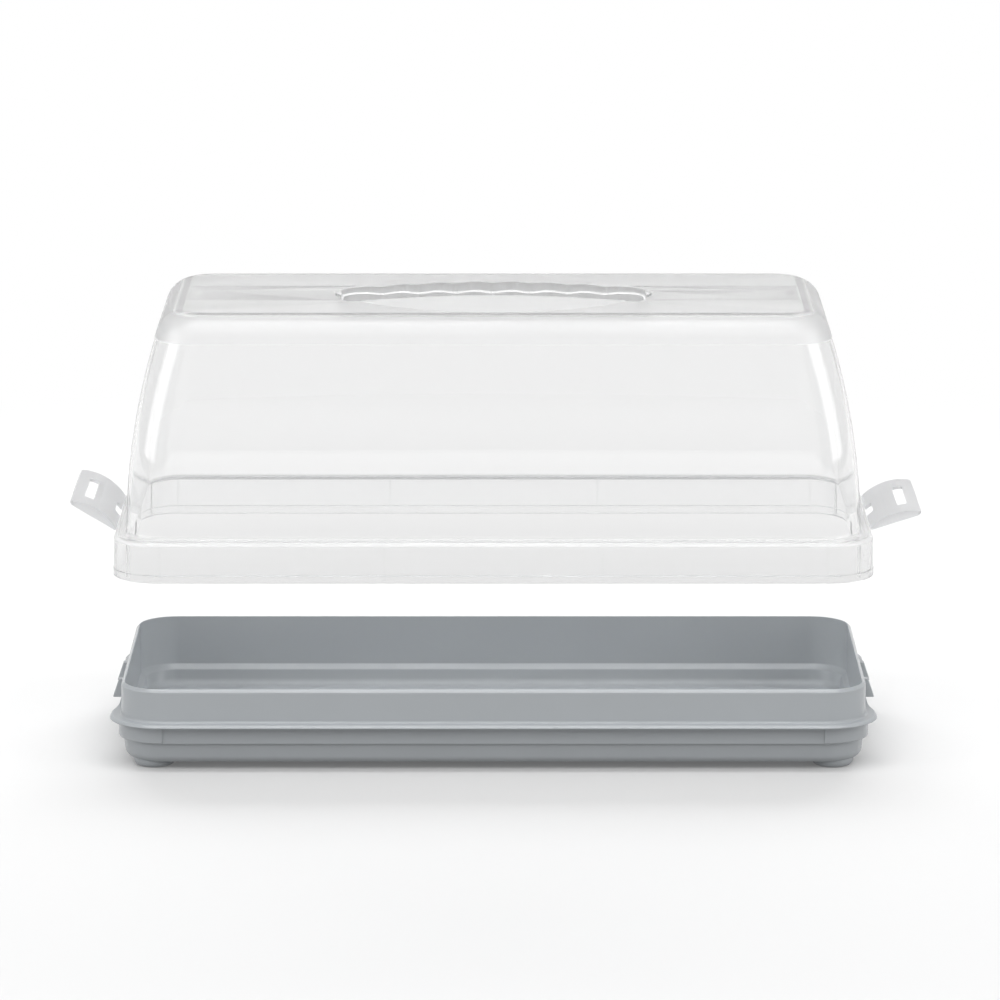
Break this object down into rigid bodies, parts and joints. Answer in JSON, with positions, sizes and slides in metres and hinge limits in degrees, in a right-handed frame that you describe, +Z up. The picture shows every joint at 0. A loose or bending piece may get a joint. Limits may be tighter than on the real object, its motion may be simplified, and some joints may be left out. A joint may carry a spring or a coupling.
{
  "type": "rectangular cake carrier",
  "caption": "Long rectangular cake carrier: a shallow footed tray under a tall clear domed lid with a scalloped finger slot and a hinged latch flap at each end.",
  "frame": {"origin": "on the table under the middle of the tray, level with the undersides of its feet", "axes": "+X along the carrier's length, towards its right end; +Y across it, towards the scalloped edge of the finger slot; +Z up"},
  "size_m": [0.4451, 0.188, 0.2388],
  "materials": {
    "tray_plastic": "satin grey moulded plastic",
    "lid_plastic": "translucent colourless moulded plastic, clear on the walls and frosted on the top and skirt",
    "flap_plastic": "frosted colourless moulded plastic"
  },
  "bodies": {
    "tray": {"tray": "tray_plastic"},
    "lid": {"lid": "lid_plastic"},
    "left_latch_flap": {"left_latch_flap": "flap_plastic"},
    "right_latch_flap": {"right_latch_flap": "flap_plastic"}
  },
  "joints": [
    {"name": "lid_lift", "type": "slide", "parent": "tray", "child": "lid", "axis": [0, 0, 1], "range_m": [-0.0745, 0.06]},
    {"name": "left_latch_hinge", "type": "hinge", "parent": "lid", "child": "left_latch_flap", "pos_m": [-0.1978, 0, 0.1192], "axis": [0, 1, 0], "range_deg": [-119, 21]},
    {"name": "right_latch_hinge", "type": "hinge", "parent": "lid", "child": "right_latch_flap", "pos_m": [0.1978, 0, 0.1192], "axis": [0, -1, 0], "range_deg": [-106, 34]}
  ]
}
